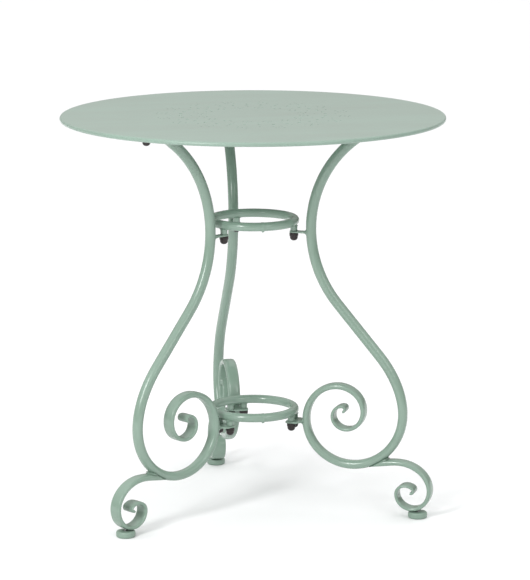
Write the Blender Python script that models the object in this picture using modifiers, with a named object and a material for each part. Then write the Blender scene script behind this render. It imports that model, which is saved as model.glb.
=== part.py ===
"""A round garden bistro table: a perforated sheet top on three scrolled tube legs held by two rings.

Each leg is one tube. It runs down from the top, in to a waist, out again, and rolls into an inner scroll
while it is pressed ever flatter. A second flat piece, the foot scroll, is welded below it and stands on a
levelling foot. The rings carry welded studs, which pass through tabs on the legs and end in capped nuts.

Metres, +Z up. The origin is on the floor under the middle of the top. Every leg is drawn in its own plane,
with X outward and Y along the floor across the leg. The plane passes a little to one side of the table's
axis, because the leg is swung about its foot.
"""

import math

import bmesh
import bpy
from mathutils import Matrix

# Overall sizes
TOP_DIAMETER = 0.700
TABLE_HEIGHT = 0.731
LEG_AZIMUTHS = {"right": -30.0, "back": 90.0, "left": 210.0}
# How many degrees each leg is swung about its foot, all the same way, as the bolts let them settle
LEG_SWING = {"right": 1.0, "back": 3.2, "left": 1.0}

# Top: a sheet whose edge is turned down and rolled under
SHEET = 0.002
EDGE_BEND_RADIUS = 0.003
EDGE_DROP = 0.0005
EDGE_ROLL_RADIUS = 0.0025
EDGE_LIP = 0.0015
TOP_SIDES = 48

# Holes of the top, as rings of (radius from the axis, number, hole diameter, first hole in steps)
HOLE_RINGS = (
    (0.088, 16, 0.0050, 0.5),
    (0.132, 32, 0.0060, 0.0),
    (0.172, 16, 0.0050, 0.5),
)
HOLE_SIDES = 8

# Leg tube and its path, as bends of (turn in degrees, radius at its start, radius at its end)
TUBE = 0.019
WAIST_RADIUS = 0.109
WAIST_HEIGHT = 0.527
UPPER_BEND_RADIUS = 0.209
TOP_BEND_RADIUS = 0.022
LEG_SPREAD = 40.7
LOWER_BEND_RADIUS = 0.211
LEG_STRAIGHT = 0.1216
SCROLL_BENDS = (
    (-LEG_SPREAD, 0.228, 0.104),
    (-90.0, 0.104, 0.0935),
    (-90.0, 0.0925, 0.0735),
    (-90.0, 0.0725, 0.054),
    (-90.0, 0.054, 0.039),
    (-90.0, 0.039, 0.028),
    (-90.0, 0.028, 0.021),
    (-80.0, 0.021, 0.0165),
    (-25.0, 0.0165, 0.0065),
    (-150.0, 0.0065, 0.0055),
)
# How thick the pressed tube is after each quarter turn, from the outermost point of the leg to its tip
SCROLL_THICKNESS = (0.017, 0.016, 0.013, 0.011, 0.0085, 0.007, 0.006, 0.0055, 0.005)

# Foot scroll
FOOT_ROOT = (0.2405, 0.0975)
FOOT_HEADING = 8.0
FOOT_STRAIGHT = 0.018
FOOT_BENDS = (
    (-FOOT_HEADING, 0.130, 0.130),
    (-90.0, 0.0755, 0.0335),
    (-90.0, 0.0405, 0.0285),
    (-90.0, 0.0305, 0.0262),
    (-90.0, 0.0130, 0.0200),
    (-35.0, 0.0240, 0.0190),
    (-35.0, 0.0100, 0.0055),
    (-120.0, 0.0055, 0.0050),
)
# How thick it is after each eighth of a turn, and how much thicker its root is
FOOT_THICKNESS = (0.0102, 0.0084, 0.008, 0.0075, 0.007, 0.0065, 0.006, 0.0057, 0.0055, 0.0052, 0.005)
FOOT_ROOT_EXTRA = 0.0013
# How far the root is drawn into the leg before it is cut to fit the leg's underside
FOOT_ROOT_BITE = 0.004

# Levelling feet
PAD_PLACE = 0.3138
PAD_RADIUS = 0.0176
PAD_HEIGHT = 0.0115
PAD_BORE_DEPTH = 0.006
FOOT_SCREW_RADIUS = 0.0038
FOOT_SCREW_TOP = 0.0195

# Rings
RING_RADIUS = 0.0765
RING_TUBE_RADIUS = 0.008
RING_HEIGHTS = {"upper": 0.5375, "lower": 0.184}
RING_TO_TAB = 0.0090
LOWER_STUD_ANGLE = 10.0

# Tabs
TAB_THICKNESS = 0.003
UPPER_TAB_WIDTH = 0.016
LOWER_TAB_WIDTH = 0.042
LOWER_TAB_INNER = 0.0655
LOWER_TAB_SHOULDER = 0.0845
LOWER_TAB_ROOT = 0.010
TAB_CORNER = 0.006
TAB_HOLE_RADIUS = 0.0036

# Fasteners
COLLAR_RADIUS = 0.0065
STUD_RADIUS = 0.003
STUD_PAST_NUT = 0.0015
NUT_RADIUS = 0.0058
NUT_BORE_RADIUS = 0.0039
NUT_HEIGHT = 0.005
CAP_RADIUS = 0.0082
CAP_WALL = 0.0014
CAP_HEIGHT = 0.015
CAP_DEPTH = 0.0092

# Joint of leg and top
TOP_STUD_PLACE = 0.2586
LEG_END_THICKNESS = 0.005
LEG_END_MARGIN = 0.013
LEG_END_HEIGHT = 0.7175
PRESSED_LENGTH = 0.045
LEG_END_ROUNDING = (0.45, 0.80, 1.0)

GAP = 0.0003
ROUND_SIDES = 10
SECTION_POINTS = 8
BEND_SAG = 0.0005
LARGEST_BEND_STEP = 45.0

GREEN = (0.36, 0.49, 0.41, 1.0)
DARK_BROWN = (0.030, 0.018, 0.016, 1.0)
ZINC = (0.55, 0.56, 0.57, 1.0)


# --- Scene, materials and objects


def clear_scene():
    for obj in list(bpy.data.objects):
        bpy.data.objects.remove(obj, do_unlink=True)


def new_collection(name):
    collection = bpy.data.collections.new(name)
    bpy.context.scene.collection.children.link(collection)
    return collection


def material(name, colour, roughness, metallic):
    mat = bpy.data.materials.new(name)
    mat.use_nodes = True
    shader = mat.node_tree.nodes["Principled BSDF"]
    shader.inputs["Base Color"].default_value = colour
    shader.inputs["Roughness"].default_value = roughness
    shader.inputs["Metallic"].default_value = metallic
    mat.diffuse_color = colour
    return mat


def painted(name):
    return material(name, GREEN, 0.45, 0.0)


def plastic(name):
    return material(name, DARK_BROWN, 0.35, 0.0)


def zinc_plated(name):
    return material(name, ZINC, 0.35, 1.0)


def mesh_from_bmesh(name, bm, sharp_angle=35.0):
    """The finished bmesh as a mesh with outward faces, smooth except at its sharp edges."""
    bmesh.ops.recalc_face_normals(bm, faces=bm.faces)
    mesh = bpy.data.meshes.new(name)
    bm.to_mesh(mesh)
    bm.free()
    mesh.shade_smooth()
    mesh.set_sharp_from_angle(angle=math.radians(sharp_angle))
    return mesh


def place(name, data, finish, parent=None, location=(0.0, 0.0, 0.0)):
    """A visible part in the table's collection, with a material of its own on the object."""
    obj = bpy.data.objects.new(name, data)
    TABLE.objects.link(obj)
    if not data.materials:
        data.materials.append(None)
    obj.material_slots[0].link = "OBJECT"
    obj.material_slots[0].material = finish(name)
    obj.parent = parent
    obj.location = location
    return obj


def leg_frame(side, azimuth):
    """An empty whose X axis points outward along one leg, swung about the leg's foot."""
    frame = bpy.data.objects.new("frame_of_leg_" + side, None)
    TABLE.objects.link(frame)
    foot = Matrix.Translation((PAD_PLACE, 0.0, 0.0))
    swing = foot @ Matrix.Rotation(-math.radians(LEG_SWING[side]), 4, "Z") @ foot.inverted()
    frame.matrix_world = Matrix.Rotation(math.radians(azimuth), 4, "Z") @ swing
    return frame


def ring_centre(side):
    """Where the table's axis stands in the frame of a leg."""
    swing = math.radians(LEG_SWING[side])
    return PAD_PLACE * (1.0 - math.cos(swing)), -PAD_PLACE * math.sin(swing)


def ring_stud_place(side, turn):
    """A point under a ring's middle line, turned by an angle from where the leg's plane crosses the ring."""
    x, y = ring_centre(side)
    angle = math.asin(-y / RING_RADIUS) + math.radians(turn)
    return x + RING_RADIUS * math.cos(angle), y + RING_RADIUS * math.sin(angle)


# --- Shapes


def turned_mesh(name, profile, steps):
    """A body turned about Z. The profile runs down the outer side, from the axis back to the axis."""
    bm = bmesh.new()
    points = [bm.verts.new((x, 0.0, z)) for x, z in profile]
    for first, second in zip(points, points[1:]):
        bm.edges.new((first, second))
    if profile[0][0] > 0.0:
        bm.edges.new((points[-1], points[0]))
    mesh = bpy.data.meshes.new(name)
    bm.to_mesh(mesh)
    bm.free()
    obj = bpy.data.objects.new(name, mesh)
    TABLE.objects.link(obj)
    screw = obj.modifiers.new("Turn", "SCREW")
    screw.axis = "Z"
    screw.angle = math.radians(360.0)
    screw.steps = steps
    screw.render_steps = steps
    screw.use_merge_vertices = True
    screw.merge_threshold = 0.0001
    turned = bpy.data.meshes.new_from_object(obj.evaluated_get(bpy.context.evaluated_depsgraph_get()))
    bpy.data.objects.remove(obj, do_unlink=True)
    turned.name = name
    turned.shade_smooth()
    turned.set_sharp_from_angle(angle=math.radians(35.0))
    return turned


def bend_pieces(turn, first, last):
    """How many chords keep a bend within the sag."""
    radius = (first + last) / 2.0
    largest = 2.0 * math.degrees(math.acos(max(1.0 - BEND_SAG / radius, 0.0)))
    return max(1, math.ceil(abs(turn) / min(largest, LARGEST_BEND_STEP)))


def walk(start, heading, moves):
    """Points (x, z, heading) of a bent line.

    A move is a straight length, or a bend (turn in degrees, first radius, last radius), left positive.
    """
    x, z = start
    angle = math.radians(heading)
    points = [(x, z, angle)]
    for move in moves:
        if isinstance(move, float):
            x += move * math.cos(angle)
            z += move * math.sin(angle)
            points.append((x, z, angle))
            continue
        turn, first, last = move
        count = bend_pieces(turn, first, last)
        part = math.radians(turn) / count
        for i in range(count):
            radius = first + (last - first) * (i + 0.5) / count
            chord = 2.0 * radius * math.sin(abs(part) / 2.0)
            x += chord * math.cos(angle + part / 2.0)
            z += chord * math.sin(angle + part / 2.0)
            angle += part
            points.append((x, z, angle))
    return points


def flat_width(thickness):
    """Width of the round tube after it is pressed to this thickness: its girth stays the same."""
    return thickness + math.pi * (TUBE - thickness) / 2.0


def section(thickness, fullness=1.0):
    """Points (across, along the normal) of a pressed tube: an octagon stretched by its flats."""
    half = thickness / 2.0
    corner = half * math.tan(math.radians(22.5))
    half_flat = (flat_width(thickness) - thickness) / 2.0
    wide = fullness * (half_flat + half)
    narrow = fullness * (half_flat + corner)
    points = [(narrow, -half), (wide, -corner), (wide, corner), (narrow, half)]
    return points + [(-across, -along) for across, along in points]


def loft(name, stations, first_points=None):
    """A tube lofted through stations (x, z, heading, thickness, fullness)."""
    bm = bmesh.new()
    rings = []
    for x, z, heading, thickness, fullness in stations:
        ring = []
        for across, along in section(thickness, fullness):
            px = x - along * math.sin(heading)
            pz = z + along * math.cos(heading)
            ring.append(bm.verts.new((px, across, pz)))
        rings.append(ring)
    for vert, point in zip(rings[0], first_points or []):
        vert.co = point
    count = len(rings[0])
    for first, second in zip(rings, rings[1:]):
        for i in range(count):
            j = (i + 1) % count
            bm.faces.new((first[i], first[j], second[j], second[i]))
    bm.faces.new(rings[0])
    bm.faces.new(rings[-1])
    return mesh_from_bmesh(name, bm)


def between(values, place_in_list):
    """The value at a fractional place in a list, straight between its neighbours."""
    limit = len(values) - 1
    at = min(max(place_in_list, 0.0), float(limit))
    low = min(int(at), limit - 1)
    return values[low] + (values[low + 1] - values[low]) * (at - low)


def plate(name, outline, hole_centres, hole_radius, thickness):
    """A flat plate as a filled 2D curve, with round holes."""
    curve = bpy.data.curves.new(name, "CURVE")
    curve.dimensions = "2D"
    curve.fill_mode = "BOTH"
    curve.extrude = thickness / 2.0
    holes = [
        [(cx + hole_radius * math.cos(a), cy + hole_radius * math.sin(a)) for a in ring_angles(ROUND_SIDES)]
        for cx, cy in hole_centres
    ]
    for points in [outline] + holes:
        spline = curve.splines.new("POLY")
        spline.points.add(len(points) - 1)
        for point, (x, y) in zip(spline.points, points):
            point.co = (x, y, 0.0, 1.0)
        spline.use_cyclic_u = True
    return curve


def ring_angles(count, first=0.0):
    return [2.0 * math.pi * (i + first) / count for i in range(count)]


def arc_points(cx, cy, radius, start, end, count):
    """Points on an arc, angles in degrees."""
    points = []
    for i in range(count + 1):
        angle = math.radians(start + (end - start) * i / count)
        points.append((cx + radius * math.cos(angle), cy + radius * math.sin(angle)))
    return points


def rods(name, rod_list, parent=None):
    """Upright rods (x, y, radius, low, high, sides) as one hidden cutter."""
    bm = bmesh.new()
    for x, y, radius, low, high, sides in rod_list:
        bmesh.ops.create_cone(
            bm,
            cap_ends=True,
            segments=sides,
            radius1=radius,
            radius2=radius,
            depth=high - low,
            matrix=Matrix.Translation((x, y, (low + high) / 2.0)),
        )
    return sheath(name, mesh_from_bmesh(name, bm), parent)


def sheath(name, mesh, parent):
    """A hidden cutter made from a finished mesh."""
    cutter = bpy.data.objects.new(name, mesh)
    CUTTERS.objects.link(cutter)
    cutter.parent = parent
    cutter.hide_render = True
    cutter.display_type = "WIRE"
    return cutter


def cut(obj, cutter):
    boolean = obj.modifiers.new("Cut", "BOOLEAN")
    boolean.operation = "DIFFERENCE"
    boolean.solver = "EXACT"
    boolean.object = cutter


# --- Top


def tabletop():
    """The sheet's middle line runs out from the axis, turns down and rolls under."""
    middle = walk(
        (0.0, TABLE_HEIGHT - SHEET / 2.0),
        0.0,
        (
            TOP_DIAMETER / 2.0 - SHEET / 2.0 - EDGE_BEND_RADIUS,
            (-90.0, EDGE_BEND_RADIUS, EDGE_BEND_RADIUS),
            EDGE_DROP,
            (-180.0, EDGE_ROLL_RADIUS, EDGE_ROLL_RADIUS),
            EDGE_LIP,
        ),
    )
    half = SHEET / 2.0
    outer = [(x - half * math.sin(a), z + half * math.cos(a)) for x, z, a in middle]
    inner = [(x + half * math.sin(a), z - half * math.cos(a)) for x, z, a in middle]
    top = place("tabletop", turned_mesh("tabletop", outer + inner[::-1], TOP_SIDES), painted)
    holes = []
    for radius, count, diameter, first in HOLE_RINGS:
        for angle in ring_angles(count, first):
            holes.append(
                (
                    radius * math.cos(angle),
                    radius * math.sin(angle),
                    diameter / 2.0,
                    TABLE_HEIGHT - 2.0 * SHEET,
                    TABLE_HEIGHT + SHEET,
                    HOLE_SIDES,
                )
            )
    cut(top, rods("top_holes", holes))


# --- Legs


def leg_stations():
    """The leg from its flat upper end to the tip of its scroll."""
    rise = (LEG_END_HEIGHT - WAIST_HEIGHT - TOP_BEND_RADIUS) / (UPPER_BEND_RADIUS - TOP_BEND_RADIUS)
    sweep = math.degrees(math.asin(rise))
    rest = 90.0 - sweep
    bend_end = (
        WAIST_RADIUS
        + UPPER_BEND_RADIUS * (1.0 - math.cos(math.radians(sweep)))
        + TOP_BEND_RADIUS * math.cos(math.radians(sweep))
    )
    flat = TOP_STUD_PLACE + LEG_END_MARGIN - bend_end
    pressing = math.degrees(PRESSED_LENGTH / UPPER_BEND_RADIUS) / 4.0
    upper = walk(
        (TOP_STUD_PLACE + LEG_END_MARGIN, LEG_END_HEIGHT),
        180.0,
        (0.004, 0.0095, flat - 0.0135, (rest, TOP_BEND_RADIUS, TOP_BEND_RADIUS))
        + 4 * ((pressing, UPPER_BEND_RADIUS, UPPER_BEND_RADIUS),)
        + ((sweep - 4.0 * pressing, UPPER_BEND_RADIUS, UPPER_BEND_RADIUS),),
    )
    middle = walk(
        (upper[-1][0], upper[-1][1]),
        math.degrees(upper[-1][2]),
        ((LEG_SPREAD, LOWER_BEND_RADIUS, LOWER_BEND_RADIUS), LEG_STRAIGHT),
    )
    scroll = walk((middle[-1][0], middle[-1][1]), math.degrees(middle[-1][2]), SCROLL_BENDS)
    stations = []
    run = 0.0
    before = upper[0]
    for number, (x, z, heading) in enumerate(upper + middle[1:]):
        run += math.hypot(x - before[0], z - before[1])
        before = (x, z, heading)
        rise = min(max((run - flat) / PRESSED_LENGTH, 0.0), 1.0)
        rise = rise * rise * (3.0 - 2.0 * rise)
        fullness = LEG_END_ROUNDING[min(number, len(LEG_END_ROUNDING) - 1)]
        thickness = LEG_END_THICKNESS + (TUBE - LEG_END_THICKNESS) * rise
        stations.append((x, z, heading, thickness, fullness))
    down = math.radians(270.0)
    for x, z, heading in scroll[1:]:
        quarter = (down - heading) / math.radians(90.0)
        if quarter < 0.0:
            thickness = SCROLL_THICKNESS[0] - (TUBE - SCROLL_THICKNESS[0]) * quarter * 90.0 / LEG_SPREAD
        else:
            thickness = between(SCROLL_THICKNESS, quarter)
        stations.append((x, z, heading, thickness, 1.0))
    return stations


def foot_stations():
    path = walk(FOOT_ROOT, FOOT_HEADING, (FOOT_STRAIGHT,) + FOOT_BENDS)
    stations = []
    for x, z, heading in path:
        thickness = between(FOOT_THICKNESS, -heading / math.radians(45.0))
        if heading > 0.0:
            thickness += FOOT_ROOT_EXTRA * heading / math.radians(FOOT_HEADING)
        stations.append((x, z, heading, thickness, 1.0))
    return stations


def leg_above_foot(leg):
    """The stretch of the leg that the foot is welded to, a gap thicker and much wider."""
    stations = []
    for x, z, heading, thickness, fullness in leg:
        if math.radians(180.0) <= heading <= math.radians(260.0) and z < WAIST_HEIGHT / 2.0:
            stations.append((x, z, heading, thickness + 2.2 * GAP, 1.6))
    return stations


def foot_root_points(foot, leg):
    """Points of the foot's first section, slid along its heading until they are just inside the leg."""
    under = []
    for x, z, heading, thickness, fullness in leg_above_foot(leg):
        off = thickness / 2.0
        under.append((x - off * math.sin(heading), z + off * math.cos(heading)))
    x, z, heading, thickness, fullness = foot[0]
    ahead = (math.cos(heading), math.sin(heading))
    points = []
    for across, along in section(thickness):
        start = (x - along * ahead[1], z + along * ahead[0])
        slides = []
        for (ax, az), (bx, bz) in zip(under, under[1:]):
            ex, ez = bx - ax, bz - az
            cross = ahead[0] * ez - ahead[1] * ex
            slide = ((ax - start[0]) * ez - (az - start[1]) * ex) / cross
            place_on_edge = ((ax - start[0]) * ahead[1] - (az - start[1]) * ahead[0]) / cross
            if 0.0 <= place_on_edge <= 1.0:
                slides.append(slide)
        slide = min(slides, key=abs) - FOOT_ROOT_BITE
        points.append((start[0] + slide * ahead[0], across, start[1] + slide * ahead[1]))
    return points


def pad_profile():
    height = PAD_HEIGHT
    radius = PAD_RADIUS
    bore = FOOT_SCREW_RADIUS + 2.0 * GAP
    return [
        (0.0, height - PAD_BORE_DEPTH),
        (bore, height - PAD_BORE_DEPTH),
        (bore, height),
        (radius - 0.0024, height),
        (radius - 0.0006, height - 0.0010),
        (radius, height - 0.0030),
        (radius, 0.0045),
        (radius - 0.0009, 0.0018),
        (radius - 0.0032, 0.0),
        (0.0, 0.0),
    ]


def foot_screw_mesh():
    low = PAD_HEIGHT - PAD_BORE_DEPTH + GAP
    bm = bmesh.new()
    bmesh.ops.create_cone(
        bm,
        cap_ends=True,
        segments=SECTION_POINTS,
        radius1=FOOT_SCREW_RADIUS,
        radius2=FOOT_SCREW_RADIUS,
        depth=FOOT_SCREW_TOP - low,
        matrix=Matrix.Translation((0.0, 0.0, (FOOT_SCREW_TOP + low) / 2.0)),
    )
    return mesh_from_bmesh("foot_screw", bm)


# --- Rings, tabs and fasteners


def ring(level):
    bpy.ops.mesh.primitive_torus_add(
        major_segments=32,
        minor_segments=SECTION_POINTS,
        major_radius=RING_RADIUS,
        minor_radius=RING_TUBE_RADIUS,
    )
    made = bpy.context.object
    mesh = made.data
    bpy.data.objects.remove(made, do_unlink=True)
    mesh.name = level + "_ring"
    mesh.shade_smooth()
    place(level + "_ring", mesh, painted, location=(0.0, 0.0, RING_HEIGHTS[level]))


def tab_top(level):
    """Height of the upper face of the tabs under a ring."""
    return RING_HEIGHTS[level] - RING_TUBE_RADIUS - RING_TO_TAB


def upper_tab(side):
    """A round-ended strip, coped at its outer end to sit against the round tube of the leg."""
    half = UPPER_TAB_WIDTH / 2.0
    inner = ring_stud_place(side, 0.0)
    cope = TUBE / 2.0 + GAP
    corner = cope * math.tan(math.radians(22.5))
    outline = arc_points(inner[0], 0.0, half, 90.0, 270.0, 6)
    outline.append((WAIST_RADIUS - cope - corner + half, -half))
    outline.append((WAIST_RADIUS - cope, -corner))
    outline.append((WAIST_RADIUS - cope, corner))
    outline.append((WAIST_RADIUS - cope - corner + half, half))
    return plate("upper_tab_" + side, outline, [inner], TAB_HOLE_RADIUS, TAB_THICKNESS)


def lower_tab(side, outer_end):
    """A wide plate with round inner corners, two holes, and its outer corners cut back to the leg."""
    half = LOWER_TAB_WIDTH / 2.0
    low = LOWER_TAB_INNER + TAB_CORNER
    outline = [(outer_end, LOWER_TAB_ROOT), (LOWER_TAB_SHOULDER + 0.004, half - 0.003)]
    outline.append((LOWER_TAB_SHOULDER, half))
    outline += arc_points(low, half - TAB_CORNER, TAB_CORNER, 90.0, 180.0, 2)
    outline += [(x, -y) for x, y in reversed(outline)]
    return plate("lower_tab_" + side, outline, lower_stud_places(side), TAB_HOLE_RADIUS, TAB_THICKNESS)


def lower_stud_places(side):
    return [ring_stud_place(side, LOWER_STUD_ANGLE), ring_stud_place(side, -LOWER_STUD_ANGLE)]


def stud_profile(collar, grip):
    """A stud with a collar. Zero is the collar's lower face, and grip is what the nut clamps."""
    end = grip + NUT_HEIGHT + STUD_PAST_NUT + GAP
    return [
        (0.0, collar),
        (COLLAR_RADIUS, collar),
        (COLLAR_RADIUS, GAP),
        (STUD_RADIUS, GAP),
        (STUD_RADIUS, -end),
        (0.0, -end),
    ]


def nut_profile():
    return [
        (NUT_BORE_RADIUS, -GAP),
        (NUT_RADIUS, -GAP),
        (NUT_RADIUS, -GAP - NUT_HEIGHT),
        (NUT_BORE_RADIUS, -GAP - NUT_HEIGHT),
    ]


def cap_profile():
    """A dome open at its top, which hides a nut."""
    inside = CAP_RADIUS - CAP_WALL
    return [
        (0.0, -CAP_DEPTH),
        (inside, -CAP_DEPTH + 0.0010),
        (inside, -GAP),
        (CAP_RADIUS, -GAP),
        (CAP_RADIUS, -0.0075),
        (0.88 * CAP_RADIUS, -0.0115),
        (0.55 * CAP_RADIUS, -0.0143),
        (0.0, -CAP_HEIGHT),
    ]


def fasteners(name, stud_mesh, x, y, collar_face, clamped_face, frame):
    """Stud, nut and cap on one axis. Faces are heights of the clamped piece's upper and lower face."""
    place(name.replace("*", "stud"), stud_mesh, painted, frame, (x, y, collar_face))
    place(name.replace("*", "nut"), NUT, zinc_plated, frame, (x, y, clamped_face))
    place(name.replace("*", "cap"), CAP, plastic, frame, (x, y, clamped_face))


def nearest_inner_face(stations, height):
    """How far from the axis the leg's inner scroll face is at a height."""
    inner = [s for s in stations if s[2] < math.radians(130.0) and s[2] > math.radians(30.0)]
    nearest = min(inner, key=lambda s: abs(s[1] - height))
    return nearest[0] - nearest[3] / 2.0


def build():
    tabletop()
    for level in RING_HEIGHTS:
        ring(level)

    leg_line = leg_stations()
    foot_line = foot_stations()
    leg_mesh = loft("leg", leg_line)
    foot_mesh = loft("foot_scroll", foot_line, foot_root_points(foot_line, leg_line))
    sheath_mesh = loft("leg_sheath", leg_above_foot(leg_line))
    pad_mesh = turned_mesh("foot_pad", pad_profile(), 16)
    screw_mesh = foot_screw_mesh()
    lower_clamp = tab_top("lower") - TAB_THICKNESS / 2.0
    tab_end = nearest_inner_face(leg_line, lower_clamp) - 2.0 * GAP
    ring_stud = turned_mesh("ring_stud", stud_profile(RING_TO_TAB - GAP, TAB_THICKNESS), ROUND_SIDES)
    end_top = LEG_END_HEIGHT + LEG_END_THICKNESS / 2.0
    top_collar = TABLE_HEIGHT - SHEET - GAP - end_top
    top_stud = turned_mesh("top_stud", stud_profile(top_collar, LEG_END_THICKNESS), ROUND_SIDES)

    for side, azimuth in LEG_AZIMUTHS.items():
        frame = leg_frame(side, azimuth)
        leg = place("leg_" + side, leg_mesh, painted, frame)
        rod = (TOP_STUD_PLACE, 0.0, TAB_HOLE_RADIUS, end_top - 0.015, end_top + 0.01, SECTION_POINTS)
        cut(leg, rods("leg_hole_" + side, [rod], frame))
        scroll = place("foot_scroll_" + side, foot_mesh, painted, frame)
        rod = (PAD_PLACE, 0.0, FOOT_SCREW_RADIUS + 2.0 * GAP, 0.002, 0.030, SECTION_POINTS)
        cut(scroll, rods("foot_hole_" + side, [rod], frame))
        cut(scroll, sheath("leg_sheath_" + side, sheath_mesh, frame))
        place("foot_pad_" + side, pad_mesh, painted, frame, (PAD_PLACE, 0.0, 0.0))
        place("foot_screw_" + side, screw_mesh, zinc_plated, frame, (PAD_PLACE, 0.0, 0.0))

        face = tab_top("upper")
        tab_middle = (0.0, 0.0, face - TAB_THICKNESS / 2.0)
        place("upper_tab_" + side, upper_tab(side), painted, frame, tab_middle)
        x, y = ring_stud_place(side, 0.0)
        fasteners("upper_*_" + side, ring_stud, x, y, face, face - TAB_THICKNESS, frame)
        face = tab_top("lower")
        tab_middle = (0.0, 0.0, face - TAB_THICKNESS / 2.0)
        place("lower_tab_" + side, lower_tab(side, tab_end), painted, frame, tab_middle)
        for number, (x, y) in enumerate(lower_stud_places(side), start=1):
            name = "lower_*_" + side + "_" + str(number)
            fasteners(name, ring_stud, x, y, face, face - TAB_THICKNESS, frame)
        under = end_top - LEG_END_THICKNESS
        fasteners("top_*_" + side, top_stud, TOP_STUD_PLACE, 0.0, end_top, under, frame)


clear_scene()
TABLE = new_collection("bistro_table")
CUTTERS = new_collection("cutters")
NUT = turned_mesh("nut", nut_profile(), 6)
CAP = turned_mesh("cap", cap_profile(), ROUND_SIDES)
build()
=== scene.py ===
"""A round bistro table in sage green powder coat: pierced top, three scrolled legs, two rings.

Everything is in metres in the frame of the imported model. Each leg is drawn in its own plane, with X outward
from the table's axis and Y across the leg. It is then swung a little about its foot, and turned to its
azimuth.
"""

import math

import bmesh
import bpy
from mathutils import Matrix, Vector


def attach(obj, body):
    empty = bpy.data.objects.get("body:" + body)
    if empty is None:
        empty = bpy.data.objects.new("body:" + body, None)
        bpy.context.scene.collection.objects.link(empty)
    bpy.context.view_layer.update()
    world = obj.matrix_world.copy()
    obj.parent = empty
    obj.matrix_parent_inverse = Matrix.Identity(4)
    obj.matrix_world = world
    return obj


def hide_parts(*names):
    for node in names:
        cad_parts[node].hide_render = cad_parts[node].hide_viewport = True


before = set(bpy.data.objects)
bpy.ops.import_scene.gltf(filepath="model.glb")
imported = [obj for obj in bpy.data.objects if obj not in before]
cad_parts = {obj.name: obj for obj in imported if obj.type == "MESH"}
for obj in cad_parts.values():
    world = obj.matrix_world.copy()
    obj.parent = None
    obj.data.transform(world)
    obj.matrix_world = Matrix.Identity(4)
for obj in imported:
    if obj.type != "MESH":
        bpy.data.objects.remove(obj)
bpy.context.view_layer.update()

BODY = "table_frame"
SIDES = {"right": -30.0, "back": 90.0, "left": 210.0}
# How many degrees each leg is swung about its foot, all the same way. The values are fitted to the one photo.
LEG_SWING = {"right": 1.0, "back": 3.2, "left": 1.0}

# Top
TOP_RADIUS = 0.350
TOP_Z = 0.731
SHEET = 0.002
EDGE_BEND = 0.003
EDGE_DROP = 0.0005
EDGE_ROLL = 0.0025
EDGE_LIP = 0.0015
TOP_SEGMENTS = 256
# Inside this radius the upper and lower faces of the sheet are two flat discs
FLAT_RADIUS = 0.30

# Holes: columns of punched holes on radial lines, one big hole in each and small ones inside and outside it
COLUMNS = 32
COLUMN_PHASE = 2.6
MAIN_RING = 0.132
BIG_HOLE = 0.0030
SMALL_HOLE = 0.0018
SINGLE_RINGS = (0.112, 0.150)
INNER_CLUSTER = 0.093
INNER_CLUSTER_HOLES = ((0.0, 0.007), (0.0, -0.007), (0.007, 0.0), (-0.007, 0.0))
OUTER_CLUSTER = 0.167
OUTER_CLUSTER_HOLES = ((0.0, 0.0), (0.008, 0.008), (-0.008, 0.008), (0.008, -0.008), (-0.008, -0.008))
HOLE_SEGMENTS = 16
HOLE_FLARE = 0.00012
PUNCH_REACH = 0.001

# Leg
TUBE = 0.019
WAIST = (0.109, 0.527)
UPPER_BEND = 0.209
TOP_BEND = 0.022
LEG_SPREAD = 40.7
LOWER_BEND = 0.211
LEG_STRAIGHT = 0.1216
SCROLL_BENDS = (
    (-LEG_SPREAD, 0.228, 0.104),
    (-90.0, 0.104, 0.0935),
    (-90.0, 0.0925, 0.0735),
    (-90.0, 0.0725, 0.054),
    (-90.0, 0.054, 0.039),
    (-90.0, 0.039, 0.028),
    (-90.0, 0.028, 0.021),
    (-80.0, 0.021, 0.0165),
    (-25.0, 0.0165, 0.0065),
    (-150.0, 0.0053, 0.0044),
)
SCROLL_THICKNESS = (0.017, 0.016, 0.013, 0.011, 0.0085, 0.007, 0.006, 0.0055, 0.005)
STUD_PLACE = 0.2586
END_MARGIN = 0.013
END_THICKNESS = 0.005
END_Z = 0.7175
PRESSED_LENGTH = 0.045
# Height under which the tube's thickness follows the turn of its scroll
SCROLL_STARTS = 0.38
# Sides of the tube's outline, and how abruptly the outline goes from flat to round
SECTION = 36
FLANK = 1.8

# Foot scroll
FOOT_ROOT = (0.2405, 0.0975)
FOOT_HEADING = 8.0
FOOT_STRAIGHT = 0.018
FOOT_BENDS = (
    (-FOOT_HEADING, 0.130, 0.130),
    (-90.0, 0.0755, 0.0335),
    (-90.0, 0.0405, 0.0285),
    (-90.0, 0.0305, 0.0262),
    (-90.0, 0.0130, 0.0200),
    (-35.0, 0.0240, 0.0190),
    (-35.0, 0.0095, 0.0050),
    (-130.0, 0.0047, 0.0042),
)
FOOT_THICKNESS = (0.0102, 0.0084, 0.008, 0.0075, 0.007, 0.0065, 0.006, 0.0057, 0.0055, 0.0052, 0.005)
FOOT_ROOT_EXTRA = 0.0013
FOOT_BITE = 0.0025

# Levelling feet
PAD_PLACE = 0.3138
PAD_RADIUS = 0.0176
PAD_HEIGHT = 0.0115
SCREW_RADIUS = 0.0038
SCREW_TOP = 0.0195
SCREW_FOOT = 0.0058
SCREW_PITCH = 0.00125
PAD_SIDES = 64

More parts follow.
